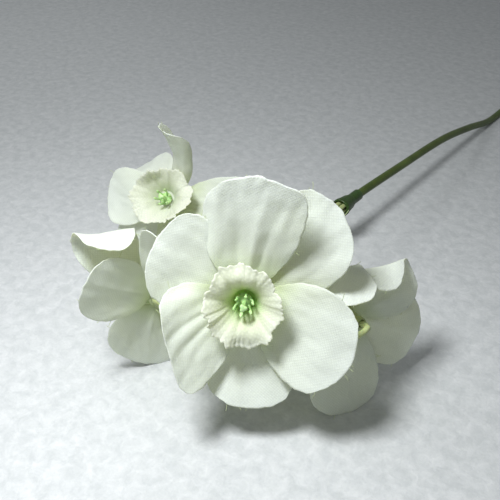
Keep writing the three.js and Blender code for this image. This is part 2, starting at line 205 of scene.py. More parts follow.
@dataclass(frozen=True)
class WovenPolyester:
    """Woven polyester cloth, stiffened and heat pressed: matt, and thin enough to glow in the shade.

    The tint runs along the attribute "run", from the root to the free edge, and the threads follow
    the piece's own UV map, which is the flat cloth in millimetres.
    """

    name: str
    tint: list[tuple[float, str]] = field(hash=False)
    through: str
    glow: float
    # A real thread is 0.2 mm; it is drawn coarser so that it shows in a render 500 wide
    thread: float = 0.9
    streak: float = 0.0
    streak_colour: str = "ffffff"

    def material(self) -> bpy.types.Material:
        """Builds the node material.

        Returns:
            The material.
        """
        made, tree = blank_material(self.name)
        cloth = add_node(tree, "ShaderNodeUVMap", {"uv_map": "cloth_mm"}).outputs["UV"]
        place = add_node(tree, "ShaderNodeTexCoord").outputs["Object"]
        run = add_node(tree, "ShaderNodeAttribute", {"attribute_name": "run"}).outputs["Fac"]

        bias = add_node(tree, "ShaderNodeMapping", {"Rotation": (0, 0, math.radians(45))}, {
            "Vector": cloth})
        warp, weft = (
            add_node(tree, "ShaderNodeTexWave", {
                "bands_direction": way, "Scale": WAVE_PERIOD / self.thread, "Distortion": 0.35,
                "Detail": 1.0, "Detail Scale": 0.6}, {"Vector": bias.outputs[0]})
            for way in ("X", "Y"))
        weave = add_node(tree, "ShaderNodeMath", {"operation": "MULTIPLY"}, {
            0: warp.outputs["Fac"], 1: weft.outputs["Fac"]})
        slub = add_node(tree, "ShaderNodeTexNoise", {
            "Scale": 1 / self.thread, "Detail": 2.0, "Roughness": 0.7}, {"Vector": cloth})
        uneven = add_node(tree, "ShaderNodeMapRange", {1: 0.3, 2: 0.7, 3: 0.0, 4: 1.0}, {
            0: slub.outputs["Fac"]})
        speckle = add_node(tree, "ShaderNodeMix", {"data_type": "FLOAT", 0: 0.4}, {
            2: weave.outputs[0], 3: uneven.outputs[0]})

        wander = add_node(tree, "ShaderNodeTexNoise", {
            "Scale": 1 / (9 * MM), "Detail": 3.0, "Roughness": 0.55}, {"Vector": place})
        shift = add_node(tree, "ShaderNodeMath", {"operation": "MULTIPLY_ADD", 1: 0.22, 2: -0.11}, {
            0: wander.outputs["Fac"]})
        tinted = add_node(tree, "ShaderNodeMath", {"operation": "ADD"}, {0: run, 1: shift.outputs[0]})
        # Colour along the run from the root; on the petals the darker root is partly real green and partly
        # painted shade near the cup
        base = set_ramp(add_node(tree, "ShaderNodeValToRGB", {}, {"Fac": tinted.outputs[0]}), self.tint)
        colour = base.outputs["Color"]
        if self.streak:
            long_way = add_node(tree, "ShaderNodeMapping", {"Scale": (0.75, 0.045, 1.0)}, {
                "Vector": cloth})
            grain = add_node(tree, "ShaderNodeTexNoise", {
                "Scale": 1.0, "Detail": 3.0, "Roughness": 0.6}, {"Vector": long_way.outputs[0]})
            fade = add_node(tree, "ShaderNodeMapRange", {1: 0.12, 2: 0.62, 3: self.streak, 4: 0.0}, {
                0: run})
            lines = add_node(tree, "ShaderNodeMapRange", {1: 0.42, 2: 0.62, 3: 0.0, 4: 1.0}, {
                0: grain.outputs["Fac"]})
            share = add_node(tree, "ShaderNodeMath", {"operation": "MULTIPLY"}, {
                0: fade.outputs[0], 1: lines.outputs[0]})
            drawn = add_node(tree, "ShaderNodeMix", {
                "data_type": "RGBA", 7: linear(self.streak_colour)}, {0: share.outputs[0], 6: colour})
            colour = drawn.outputs[2]
        threads = add_node(tree, "ShaderNodeMapRange", {1: 0.0, 2: 1.0, 3: 0.88, 4: 1.08}, {
            0: speckle.outputs[0]})
        shaded = add_node(tree, "ShaderNodeVectorMath", {"operation": "SCALE"}, {
            0: colour, "Scale": threads.outputs[0]})

        nap = add_node(tree, "ShaderNodeTexNoise", {
            "Scale": 1 / (1.6 * MM), "Detail": 4.0, "Roughness": 0.6}, {"Vector": place})
        crumple = add_node(tree, "ShaderNodeBump", {"Strength": 0.35, "Distance": 0.35 * MM}, {
            "Height": nap.outputs["Fac"]})
        relief = add_node(tree, "ShaderNodeBump", {"Strength": 0.5, "Distance": 0.16 * MM}, {
            "Height": speckle.outputs[0], "Normal": crumple.outputs[0]})
        skin = add_node(tree, "ShaderNodeBsdfPrincipled", {
            "Roughness": 0.82, "Specular IOR Level": 0.22, "Sheen Weight": 0.25,
            "Sheen Roughness": 0.45}, {"Base Color": shaded.outputs[0], "Normal": relief.outputs[0]})
        glow = add_node(tree, "ShaderNodeBsdfTranslucent", {"Color": linear(self.through)}, {
            "Normal": relief.outputs[0]})
        both = add_node(tree, "ShaderNodeMixShader", {"Fac": self.glow}, {
            1: skin.outputs[0], 2: glow.outputs[0]})
        add_node(tree, "ShaderNodeOutputMaterial", {}, {"Surface": both.outputs[0]})
        return made


@dataclass(frozen=True)
class MouldedPolyethylene:
    """Soft polyethylene, moulded or extruded: a satin skin with faint streaks and dull rub marks."""

    name: str
    light: str
    dark: str
    roughness: float = 0.42
    streak_mm: float = 9.0

    def material(self) -> bpy.types.Material:
        """Builds the node material.

        Returns:
            The material.
        """
        made, tree = blank_material(self.name)
        place = add_node(tree, "ShaderNodeTexCoord").outputs["Object"]
        flow = add_node(tree, "ShaderNodeTexNoise", {
            "Scale": 1 / (self.streak_mm * MM), "Detail": 5.0, "Roughness": 0.6}, {"Vector": place})
        tone = set_ramp(add_node(tree, "ShaderNodeValToRGB", {}, {"Fac": flow.outputs["Fac"]}), [
            (0.35, self.dark), (0.65, self.light)])
        pits = add_node(tree, "ShaderNodeTexNoise", {
            "Scale": 1 / (0.7 * MM), "Detail": 3.0, "Roughness": 0.6}, {"Vector": place})
        rub = add_node(tree, "ShaderNodeMapRange", {
            1: 0.35, 2: 0.7, 3: self.roughness - 0.06, 4: self.roughness + 0.14}, {0: pits.outputs["Fac"]})
        relief = add_node(tree, "ShaderNodeBump", {"Strength": 0.3, "Distance": 0.1 * MM}, {
            "Height": pits.outputs["Fac"]})
        skin = add_node(tree, "ShaderNodeBsdfPrincipled", {
            "IOR": 1.51, "Specular IOR Level": 0.45, "Subsurface Weight": 0.08,
            "Subsurface Scale": 1.0 * MM}, {
            "Base Color": tone.outputs["Color"], "Roughness": rub.outputs[0], "Normal": relief.outputs[0]})
        add_node(tree, "ShaderNodeOutputMaterial", {}, {"Surface": skin.outputs[0]})
        return made


@dataclass(frozen=True)
class DrawnSteel:
    """Galvanised steel wire, drawn: grey, with fine lines along it and a dull bloom."""

    name: str
    colour: str = "a3a5a2"

    def material(self) -> bpy.types.Material:
        """Builds the node material.

        Returns:
            The material.
        """
        made, tree = blank_material(self.name)
        place = add_node(tree, "ShaderNodeTexCoord").outputs["Object"]
        along = add_node(tree, "ShaderNodeMapping", {"Scale": (9.0, 0.5, 9.0)}, {"Vector": place})
        lines = add_node(tree, "ShaderNodeTexNoise", {
            "Scale": 1 / (1.5 * MM), "Detail": 3.0}, {"Vector": along.outputs[0]})
        dull = add_node(tree, "ShaderNodeMapRange", {1: 0.3, 2: 0.7, 3: 0.32, 4: 0.5}, {
            0: lines.outputs["Fac"]})
        relief = add_node(tree, "ShaderNodeBump", {"Strength": 0.2, "Distance": 0.05 * MM}, {
            "Height": lines.outputs["Fac"]})
        skin = add_node(tree, "ShaderNodeBsdfPrincipled", {
            "Base Color": linear(self.colour), "Metallic": 1.0}, {
            "Roughness": dull.outputs[0], "Normal": relief.outputs[0]})
        add_node(tree, "ShaderNodeOutputMaterial", {}, {"Surface": skin.outputs[0]})
        return made


@dataclass(frozen=True)
class MottledPaper:
    """Thick pale paper with a pressed, cloudy texture, which the spray lies on."""

    name: str
    light: str = "cdd0d1"
    dark: str = "bcc0c1"
    cloud_mm: float = 5.0
    tooth_mm: float = 1.2

    def material(self) -> bpy.types.Material:
        """Builds the node material.

        Returns:
            The material.
        """
        made, tree = blank_material(self.name)
        place = add_node(tree, "ShaderNodeTexCoord").outputs["Object"]
        cloud = add_node(tree, "ShaderNodeTexNoise", {
            "Scale": 1 / (self.cloud_mm * MM), "Detail": 6.0, "Roughness": 0.62,
            "Distortion": 0.5}, {"Vector": place})
        tooth = add_node(tree, "ShaderNodeTexNoise", {
            "Scale": 1 / (self.tooth_mm * MM), "Detail": 3.0, "Roughness": 0.6}, {"Vector": place})
        tone = set_ramp(add_node(tree, "ShaderNodeValToRGB", {}, {"Fac": cloud.outputs["Fac"]}), [
            (0.36, self.dark), (0.68, self.light)])
        speck = add_node(tree, "ShaderNodeMapRange", {1: 0.3, 2: 0.7, 3: 0.955, 4: 1.03}, {
            0: tooth.outputs["Fac"]})
        colour = add_node(tree, "ShaderNodeVectorMath", {"operation": "SCALE"}, {
            0: tone.outputs["Color"], "Scale": speck.outputs[0]})
        swell = add_node(tree, "ShaderNodeBump", {"Strength": 0.4, "Distance": 0.6 * MM}, {
            "Height": cloud.outputs["Fac"]})
        grain = add_node(tree, "ShaderNodeBump", {"Strength": 0.4, "Distance": 0.2 * MM}, {
            "Height": tooth.outputs["Fac"], "Normal": swell.outputs[0]})
        skin = add_node(tree, "ShaderNodeBsdfPrincipled", {
            "Roughness": 0.9, "Specular IOR Level": 0.2}, {
            "Base Color": colour.outputs[0], "Normal": grain.outputs[0]})
        add_node(tree, "ShaderNodeOutputMaterial", {}, {"Surface": skin.outputs[0]})
        return made


# Mesh helpers


def spray_origin() -> Vector:
    """The point of the surface under the mouth of the collar, in the frame, in millimetres."""
    low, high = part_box("collar")
    return Vector(((low.x + high.x) / 2, low.y, 0.0)) / MM


ORIGIN = spray_origin()


def add_object(name: str, bm: bmesh.types.BMesh, material: bpy.types.Material) -> bpy.types.Object:
    """Makes a smooth object of a bmesh that is in metres in the frame's axes.

    Args:
        name: The object's name.
        bm: The mesh, which is freed.
        material: Its finish.

    Returns:
        The object, in the scene.
    """
    mesh = bpy.data.meshes.new(name)
    bm.to_mesh(mesh)
    bm.free()
    for polygon in mesh.polygons:
        polygon.use_smooth = True
    mesh.materials.append(material)
    made = bpy.data.objects.new(name, mesh)
    bpy.context.scene.collection.objects.link(made)
    return made


def finish_piece(name: str, bm: bmesh.types.BMesh, material: bpy.types.Material, slot: Slot,
                 nodes: tuple[str, ...] = ()) -> bpy.types.Object:
    """Makes a piece of a bmesh that is in millimetres in the spray's axes.

    Args:
        name: The piece's name.
        bm: The mesh, which is freed.
        material: Its finish.
        slot: The record's slot that the finish stands for; it is not used.
        nodes: The CAD nodes that it replaces.

    Returns:
        The object, riding on the spray.
    """
    bmesh.ops.translate(bm, verts=bm.verts, vec=ORIGIN)
    bmesh.ops.scale(bm, verts=bm.verts, vec=(MM, MM, MM))
    piece = add_object(name, bm, material)
    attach(piece, "root")
    if nodes:
        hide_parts(*nodes)
    return piece


def add_sheet(bm: bmesh.types.BMesh, columns: int, rows: int,
              place: Callable[[float, float], tuple[Vector, tuple[float, float], float]]) -> list:
    """Adds a sheet of cloth to a bmesh.

    Args:
        bm: The bmesh to add to.
        columns: Faces across.
        rows: Faces along.
        place: Gives, for across and along from -1 to 1, the point in millimetres, its place on the
            flat cloth in millimetres, and its run from the root (0) to the free edge (1).

    Returns:
        The new vertices.
    """
    run = bm.verts.layers.float.get("run") or bm.verts.layers.float.new("run")
    cloth = bm.loops.layers.uv.get("cloth_mm") or bm.loops.layers.uv.new("cloth_mm")
    verts = bmesh.ops.create_grid(bm, x_segments=columns, y_segments=rows, size=1.0)["verts"]
    flat = {}
    for vert in verts:
        point, spot, share = place(vert.co.x, vert.co.y)
        vert.co = point
        vert[run] = share
        flat[vert] = spot
    for face in {face for vert in verts for face in vert.link_faces}:
        for loop in face.loops:
            loop[cloth].uv = flat[loop.vert]
    return verts


def add_rolled(bm: bmesh.types.BMesh, sides: int, rows: int,
               place: Callable[[float, float], Vector]) -> list:
    """Adds a grid rolled into a tube, closed along its seam and at its ends.

    Args:
        bm: The bmesh to add to.
        sides: Faces round.
        rows: Faces along.
        place: Gives the point for the share of a turn and the share of the length.

    Returns:
        The new vertices that are left.
    """
    verts = bmesh.ops.create_grid(bm, x_segments=sides, y_segments=rows, size=1.0)["verts"]
    for vert in verts:
        vert.co = place((vert.co.x + 1) / 2, (vert.co.y + 1) / 2)
    bmesh.ops.remove_doubles(bm, verts=verts, dist=1e-5)
    verts = [vert for vert in verts if vert.is_valid]
    open_edges = {edge for vert in verts for edge in vert.link_edges if edge.is_boundary}
    bmesh.ops.holes_fill(bm, edges=list(open_edges), sides=0)
    skin = {face for vert in verts for face in vert.link_faces}
    bmesh.ops.recalc_face_normals(bm, faces=list(skin))
    return verts


def turned(profile: list[tuple[float, float]], steps: int) -> bmesh.types.BMesh:
    """Spins a profile once round +Z and closes it.

    Args:
        profile: Pairs of radius and height in millimetres.
        steps: Faces round.

    Returns:
        The turned mesh, with its faces pointing outwards.
    """
    bm = bmesh.new()
    verts = [bm.verts.new((radius, 0.0, height)) for radius, height in profile]
    edges = [bm.edges.new(pair) for pair in zip(verts, verts[1:])]
    bmesh.ops.spin(bm, geom=verts + edges, cent=(0, 0, 0), axis=(0, 0, 1), angle=math.tau,
                   steps=steps, use_merge=True)
    bmesh.ops.remove_doubles(bm, verts=bm.verts, dist=1e-4)
    bmesh.ops.recalc_face_normals(bm, faces=bm.faces)
    return bm


class Route:
    """Centripetal Catmull-Rom curve through points, as the CAD draws its rods."""

    def __init__(self, points: list[Vector]) -> None:
        """Keeps the points and adds one beyond each end.

        Args:
            points: What the curve goes through.
        """
        before = points[0] * 2 - points[1]
        after = points[-1] * 2 - points[-2]
        self.points = [before, *points, after]
        self.spans = len(points) - 1

    def at(self, share: float) -> Vector:
        """Finds a point of the curve.

        Args:
            share: How far along it is, as a share of the spans.

        Returns:
            The point.
        """
        place = clamp(share) * self.spans
        span = min(int(place), self.spans - 1)
        weight = place - span
        p0, p1, p2, p3 = self.points[span : span + 4]
        gaps = [max((b - a).length ** 0.5, 1e-4) for a, b in ((p0, p1), (p1, p2), (p2, p3))]
        start = ((p1 - p0) / gaps[0] - (p2 - p0) / (gaps[0] + gaps[1]) + (p2 - p1) / gaps[1]) * gaps[1]
        end = ((p2 - p1) / gaps[1] - (p3 - p1) / (gaps[1] + gaps[2]) + (p3 - p2) / gaps[2]) * gaps[1]
        c2 = (p2 - p1) * 3 - start * 2 - end
        c3 = (p1 - p2) * 2 + start + end
        return p1 + start * weight + c2 * weight**2 + c3 * weight**3

    def evenly(self, count: int) -> list[Vector]:
        """Divides the curve into equal lengths.

        Args:
            count: How many lengths.

        Returns:
            The points between them and at both ends.
        """
        fine = [self.at(i / (count * 8)) for i in range(count * 8 + 1)]
        far = [0.0]
        for a, b in zip(fine, fine[1:]):
            far.append(far[-1] + (b - a).length)
        points, i = [], 0
        for k in range(count + 1):
            goal = far[-1] * k / count
            while i < len(fine) - 2 and far[i + 1] < goal:
                i += 1
            points.append(fine[i].lerp(fine[i + 1], (goal - far[i]) / max(far[i + 1] - far[i], 1e-9)))
        return points


@dataclass
class Rod:
    """A round rod along a route, with ridges along it and, where one is given, a bore at its end."""

    radius: float
    sides: int = 24
    ridge: float = 0.0
    ridges: int = 7
    bore: float = 0.0

    def build(self, bm: bmesh.types.BMesh, points: list[Vector], floor: float = -1e9) -> None:
        """Adds the rod to a bmesh.

        Args:
            bm: The bmesh to add to.
            points: The middle of the rod, evenly spaced.
            floor: The height that it is pressed flat at.
        """
        stations = [(i, self.radius) for i in range(len(points))]
        last = len(points) - 1
        if self.bore:
            cut_radius = self.radius * 0.94
            stations += [(last, cut_radius), (last, self.bore), (last - 2, self.bore)]
        frames = self.frames(points)

        def place(turn: float, along: float) -> Vector:
            """Finds a point of the skin, on its ridges and not below the floor.

            Args:
                turn: Share of a turn.
                along: Share of the stations.

            Returns:
                The point.
            """
            index, radius = stations[round(along * (len(stations) - 1))]
            side, up = frames[index]
            angle = turn * math.tau
            full = radius + (self.ridge * math.cos(self.ridges * angle) if radius == self.radius else 0.0)
            spot = points[index] + (side * math.cos(angle) + up * math.sin(angle)) * full
            spot.z = max(spot.z, floor)
            return spot

        add_rolled(bm, self.sides, len(stations) - 1, place)

    @staticmethod
    def frames(points: list[Vector]) -> list[tuple[Vector, Vector]]:
        """Carries two directions across a path along it without a twist.

        Args:
            points: The path.

        Returns:
            A side and an up direction for each point.
        """
        frames = []
        side = None
        for i, point in enumerate(points):
            ahead = points[min(i + 1, len(points) - 1)] - points[max(i - 1, 0)]
            ahead.normalize()
            if side is None:
                side = ahead.cross(Vector((0, 0, 1))).normalized()
            side = (side - ahead * side.dot(ahead)).normalized()
            frames.append((side, side.cross(ahead)))
        return frames


# The blooms


@dataclass
class Petal:
    """One petal: the CAD's arc with a dished width, with the pressed folds and soft edge of cloth.

    turn is its angle round the bloom in degrees, counter-clockwise from the bloom's right, and lift
    and curl are how far it stands forward at the root and how much more by its tip. fold is how high
    above the bloom's centre it is pressed over backwards, and by what angle, and furl is the radius
    that its width is rolled to. creases are (place across, height in mm, width) of folds that run
    from root to tip. corners are (angle from the tip in degrees, share, width in degrees) of where
    its margin is cut fuller than the CAD's, or shorter where the share is negative. uneven and fray
    are how far, in shares, its margin wanders and how far its threads do.
    """

    turn: float
    length: float = 42.0
    width: float = 37.0
    lift: float = 0.0
    curl: float = 1.0
    lean: float = 0.0
    twist: float = 0.0
    belly: float = 2.0
    fullness: float = 2.4
    fold: tuple[float, ...] = ()
    furl: float = 0.0
    ruffle: float = 0.6
    waves: float = 3.0
    crumple: float = 1.1
    creases: tuple[tuple[float, float, float], ...] = ()
    corners: tuple[tuple[float, float, float], ...] = ()
    rolled: Side = Side.NONE
    roll: float = 0.0
    tip: float = 0.0
    seed: float = 0.0
    uneven: float = 0.02
    fray: float = 0.009

    def outline(self, a: float, b: float) -> tuple[float, float]:
        """Puts a grid place on a disc made fuller towards its tip.

        Args:
            a: Across the grid, from -1 to 1.
            b: Along the grid, from -1 at the root to 1 at the tip.

        Returns:
            Across and along on the petal, in the same shares.
        """
        x = a * math.sqrt(1 - b * b / 2)
        y = b * math.sqrt(1 - a * a / 2)
        reach = math.hypot(x, y) + 1e-9
        cos = max(abs(x) / reach, 1e-3)
        sin = max(abs(y) / reach, 1e-3)
        full = (cos**self.fullness + sin**self.fullness) ** (-1 / self.fullness)
        share = 1 + (full - 1) * clamp(y * 2)
        rim = max(abs(a), abs(b))
        wander = self.uneven * noise.noise(Vector((x * 6, y * 6, self.seed + 3)))
        wander += self.fray * noise.noise(Vector((x * 24, y * 24, self.seed + 5)))
        cut = 1 + ease(rim, 0.8, 1.0) * wander
        angle = math.degrees(math.atan2(x, y))
        for place, amount, width in self.corners:
            cut += amount * ease(rim, 0.3, 1.0) * bump_of(angle, place, width)
        x, y = x * share * cut, y * (share if y > 0 else 1.0) * cut
        if y > 0:
            y *= 1 + self.tip * bump_of(x, 0.0, 0.22) * y
        return x, y

    def surface(self, across: float, along: float) -> Vector:
        """Works out the middle surface with its folding over, but without its relief.

        Args:
            across: Share of half the width.
            along: From -1 at the root to 1 at the tip.

        Returns:
            The point in the bloom's axes, in millimetres.
        """
        length = self.length - PETAL_ROOT
        half = self.width / 2
        run = max(along + 1, 0) / 2
        narrowing = 1 - ROOT_NARROWING * clamp((1 - along) / 2) ** 1.3
        side = half * across * narrowing
        start = math.radians(self.lift)
        bend = math.radians(self.curl) / length
        slope = start + bend * length * run
        out = PETAL_ROOT + (math.sin(slope) - math.sin(start)) / bend
        rise = (math.cos(start) - math.cos(slope)) / bend
        width, dish = side, self.belly * (side / half) ** 2 * run
        if self.furl:
            width = self.furl * math.sin(side / self.furl)
            dish = self.furl * (math.cos(side / self.furl) - 1)
        roll = math.radians(self.twist) * run
        sideways = width * math.cos(roll) - dish * math.sin(roll) + self.lean * run * run
        depth = width * math.sin(roll) + dish * math.cos(roll)
        x, z = out - math.sin(slope) * depth, rise + math.cos(slope) * depth
        turn = math.radians(self.turn)
        point = Vector((
            x * math.cos(turn) - sideways * math.sin(turn),
            x * math.sin(turn) + sideways * math.cos(turn),
            z,
        ))
        return self.folded(point) if self.fold else point

    def folded(self, point: Vector) -> Vector:
        """Presses over backwards, in a round fold, what is higher than the fold above the centre.

        Args:
            point: A point of the petal before the fold.

        Returns:
            Where the fold takes it.
        """
        height, most = self.fold[0], math.radians(self.fold[1])
        over = point.y - height
        if over <= 0:
            return point
        angle = min(over / FOLD_RADIUS, most)
        flat = over - angle * FOLD_RADIUS
        sin, cos = math.sin(angle), math.cos(angle)
        up = height + FOLD_RADIUS * sin + flat * cos + point.z * sin
        return Vector((point.x, up, point.z * cos - FOLD_RADIUS * (1 - cos) - flat * sin))

    def relief(self, across: float, along: float) -> float:
        """Adds up the pressed folds, waves and crumples.

        Args:
            across: Share of half the width.
            along: From -1 at the root to 1 at the tip.

        Returns:
            How far the cloth stands off the middle surface, in millimetres.
        """
        run = max(along + 1, 0) / 2
        rim = math.hypot(across, along)
        edge = ease(rim, 0.5, 1.05)
        around = math.atan2(across, along + 0.4)
        wave = math.sin(self.waves * around + 2.3 * self.seed)
        height = self.ruffle * edge * wave * ease(run, 0.15, 0.6)
        spread = 0.35 + 0.65 * run
        fading = ease(run, 0.02, 0.3) * (1 - 0.75 * ease(run, 0.6, 1.0))
        for place, tall, width in self.creases or self.drawn_creases():
            fan = across / spread - place * (1.15 - 0.15 * run)
            height += tall * bump_of(fan, 0.0, width) * fading
        x, y = across * self.width / 2, run * self.length
        height += self.crumple * noise.noise(Vector((x / 11, y / 16, self.seed))) * ease(run, 0.05, 0.4)
        height += 0.22 * self.crumple * noise.noise(Vector((x / 3.2, y / 6, self.seed + 7)))
        if self.rolled is not Side.NONE:
            reach = across * self.rolled.value
            height += self.roll * ease(reach, 0.55, 1.0) ** 2 * ease(run, 0.1, 0.45)
        return height

    def drawn_creases(self) -> list[tuple[float, float, float]]:
        """Draws three soft folds at places of the petal's own, the middle one the sharpest.

        Returns:
            The place across, the height and the width of each.
        """
        drift = [noise.noise(Vector((self.seed, k, 0.5))) for k in range(3)]
        return [
            (0.3 * drift[0], 0.26, 0.12),
            (-0.45 + 0.4 * drift[1], 0.16 + 0.5 * drift[1], 0.2),
            (0.45 + 0.4 * drift[2], 0.16 + 0.5 * drift[2], 0.2),
        ]

    def place(self, a: float, b: float) -> tuple[Vector, tuple[float, float], float]:
        """Works out a grid place, as add_sheet asks for it.

        Args:
            a: Across the grid, from -1 to 1.
            b: Along the grid, from -1 at the root to 1 at the free edge.

        Returns:
            The point in the bloom's axes, its place on the flat cloth, and its run.
        """
        across, along = self.outline(a, b)
        step = 1e-3
        here = self.surface(across, along)
        one_way = self.surface(across + step, along) - here
        other_way = self.surface(across, along + step) - here
        normal = other_way.cross(one_way).normalized()
        run = clamp((along + 1) / 2)
        flat = (across * self.width / 2 + self.turn, run * self.length)
        return here - normal * self.relief(across, along), flat, run


@dataclass
class Cup:
    """The ruffled cup: a cloth funnel with a lobed and fluted wall and a snipped rim.

    turned_back holds (angle in degrees, width in degrees, amount) of where its rim is bent outwards,
    or inwards where the amount is negative.
    """

    floor_radius: float = 4.2
    rim_radius: float = 13.2
    depth: float = 11.0
    lobes: int = 6
    scallops: int = 11
    fray: int = 46
    undyed: float = 0.0
    seed: float = 0.0
    turned_back: tuple[tuple[float, float, float], ...] = ()
    bend_out: float = 1.4
    bend_down: float = 2.1
    floor_share: float = 0.16
    flat_radius: float = 8.0
    flat_height: float = 13.0
    columns: int = 288
    rows: int = 30

    def place(self, a: float, b: float) -> tuple[Vector, tuple[float, float], float]:
        """Works out a grid place, as add_sheet asks for it.

        Args:
            a: Across the grid, from -1 to 1.
            b: Along the grid, from -1 at the root to 1 at the free edge.

        Returns:
            The point in the bloom's axes, its place on the flat cloth, and its run.
        """
        angle = (a + 1) * math.pi
        share = (b + 1) / 2
        base = CUP_FLOOR_HEIGHT + CUP_WALL / 2
        if share < self.floor_share:
            radius = PEG_HOLE_RADIUS + (self.floor_radius - PEG_HOLE_RADIUS) * share / self.floor_share
            return round_axis(radius, angle, base), (angle * self.flat_radius, radius), self.run(0.0)
        rise = (share - self.floor_share) / (1 - self.floor_share)
        spread = self.rim_radius - self.floor_radius
        around = Vector((math.cos(angle) * 2.2, math.sin(angle) * 2.2, self.seed))
        wave = self.scallops * angle / 2 + 1.1 * noise.noise(around * 1.4)
        scallop = abs(math.sin(wave))
        snipped = abs(math.sin(self.fray * angle / 2 + 2.4 * noise.noise(around * 2)))
        snip = 0.085 * scallop + 0.022 * snipped + 0.03 * noise.noise(around * 5) - 0.06
        top = rise * (1 + snip * ease(rise, 0.7, 1.0))
        radius = self.floor_radius + spread * (0.62 * top + 0.38 * top**3) - 0.35
        height = base + self.depth * top
        lobe = 0.5 * math.cos(self.lobes * angle) * rise**2
        flute = 0.5 * math.cos(2 * wave + 0.9) * rise**1.6
        wander = 0.9 * noise.noise(around) * rise**2
        fine = 0.16 * math.sin(31 * angle + 3 * noise.noise(around * 1.5)) * rise**3
        radius += lobe + flute + wander + fine
        height += 0.7 * math.sin(self.lobes * angle + 0.6) * rise**3
        height += 0.5 * noise.noise(around * 2.5) * rise**2
        for place, width, amount in self.turned_back:
            off = (math.degrees(angle) - place + 180) % 360 - 180
            near_rim = ease(rise, 0.62, 1.0)
            bent = amount * bump_of(off, 0.0, width) * near_rim
            radius += self.bend_out * bent
            height -= self.bend_down * bent * near_rim
        flat = (angle * self.flat_radius, self.floor_radius + self.flat_height * rise)
        return round_axis(radius, angle, height), flat, self.run(0.06 + 0.94 * rise)

    def run(self, share: float) -> float:
        """How far up the dyed throat a share of the depth is, in a cup that took less of the dye."""
        return self.undyed + (1 - self.undyed) * share

    def build(self) -> bmesh.types.BMesh:
        """Makes the cup as one sheet, closed along its seam.

        Returns:
            The sheet in the bloom's axes.
        """
        bm = bmesh.new()
        add_sheet(bm, self.columns, self.rows, self.place)
        bmesh.ops.remove_doubles(bm, verts=bm.verts, dist=1e-4)
        return bm


@dataclass
class Stamens:
    """Six stamens and the pistil on the peg that holds the layers together."""

    count: int = 6
    length: float = 5.5
    pistil_length: float = 8.0
    base: float = CUP_FLOOR_HEIGHT + CUP_WALL + LAYER_GAP

    def build(self) -> bmesh.types.BMesh:
        """Makes the peg, its flange and the pistil in one turn, and adds the stamens.

        Returns:
            The moulding in the bloom's axes.
        """
        base = self.base
        stigma = base + self.pistil_length
        bm = turned([
            (0.0, -SOCKET_DEPTH), (PEG_RADIUS * 0.85, -SOCKET_DEPTH), (PEG_RADIUS, -SOCKET_DEPTH + 0.3),
            (PEG_RADIUS, base), (2.6, base), (2.9, base + 0.25), (2.8, base + 0.75), (1.1, base + 1.1),
            (0.8, base + 2.4), (0.7, stigma - 0.8), (1.15, stigma - 0.2), (1.25, stigma + 0.4),
            (0.8, stigma + 0.9), (0.0, stigma + 0.7),
        ], 36)
        for vert in bm.verts:
            if vert.co.z > stigma - 0.6:
                around = math.atan2(vert.co.y, vert.co.x)
                grown = 1 + 0.22 * math.cos(3 * around)
                vert.co.x *= grown
                vert.co.y *= grown
        for i in range(self.count):
            self.add_stamen(bm, i / self.count * math.tau + 0.3)
        return bm

    def add_stamen(self, bm: bmesh.types.BMesh, turn: float) -> None:
        """Adds a bowed filament with its grooved anther.

        Args:
            bm: The bmesh to add to.
            turn: Its angle round the peg in radians.
        """
        set_up = (
            Matrix.Rotation(turn, 4, "Z")
            @ Matrix.Translation((1.9, 0.0, self.base + 0.4))
            @ Matrix.Rotation(math.radians(14), 4, "Y")
        )

        def place(share: float, along: float) -> Vector:
            """A point of the filament, which tapers and bows outwards."""
            bow = Vector((0.5 * math.sin(math.pi * along), 0, 0))
            return set_up @ (round_axis(0.45 - 0.14 * along, share * math.tau, self.length * along) + bow)

        add_rolled(bm, 10, 8, place)
        anther = bmesh.ops.create_uvsphere(bm, u_segments=16, v_segments=10, radius=0.62)["verts"]
        for vert in anther:
            groove = 1 - 0.3 * bump_of(vert.co.y, 0.0, 0.22)
            shaped = Vector((vert.co.x * 0.85 * groove, vert.co.y, vert.co.z * 2.3))
            vert.co = set_up @ (shaped + Vector((0, 0, self.length)))


@dataclass
class Calyx:
    """The moulded tube behind the petals, with a socket at each end and low ribs."""

    flange_radius: float = 3.8
    end_radius: float = 2.1
    stalk_socket: float = 1.5
    ribs: int = 6

    def build(self) -> bmesh.types.BMesh:
        """Turns the tube with its sockets and raises the ribs on it.

        Returns:
            The moulding in the bloom's axes.
        """
        foot, thin, wide = CALYX_TOP - CALYX_LENGTH, self.end_radius, self.flange_radius
        swelling = ((0.35, 0.2), (0.53, 0.38), (0.7, 0.6), (0.82, 1.05))
        bm = turned([
            (0.0, foot + SOCKET_DEPTH), (self.stalk_socket, foot + SOCKET_DEPTH),
            (self.stalk_socket, foot), (thin - 0.25, foot), (thin, foot + 0.25), (thin + 0.05, foot + 1.8),
            *((thin + more, foot + CALYX_LENGTH * share) for share, more in swelling),
            (wide - 0.2, CALYX_TOP - 1.0), (wide, CALYX_TOP - 0.6), (wide, CALYX_TOP - 0.15),
            (wide - 0.15, CALYX_TOP), (PEG_HOLE_RADIUS, CALYX_TOP),
            (PEG_HOLE_RADIUS, CALYX_TOP - SOCKET_DEPTH - 0.4), (0.0, CALYX_TOP - SOCKET_DEPTH - 0.4),
        ], 60)
        for vert in bm.verts:
            radius = math.hypot(vert.co.x, vert.co.y)
            if radius > self.end_radius and vert.co.z < CALYX_TOP - 0.5:
                rib = 1 + 0.035 * math.cos(self.ribs * math.atan2(vert.co.y, vert.co.x))
                vert.co.x *= rib
                vert.co.y *= rib
        return bm


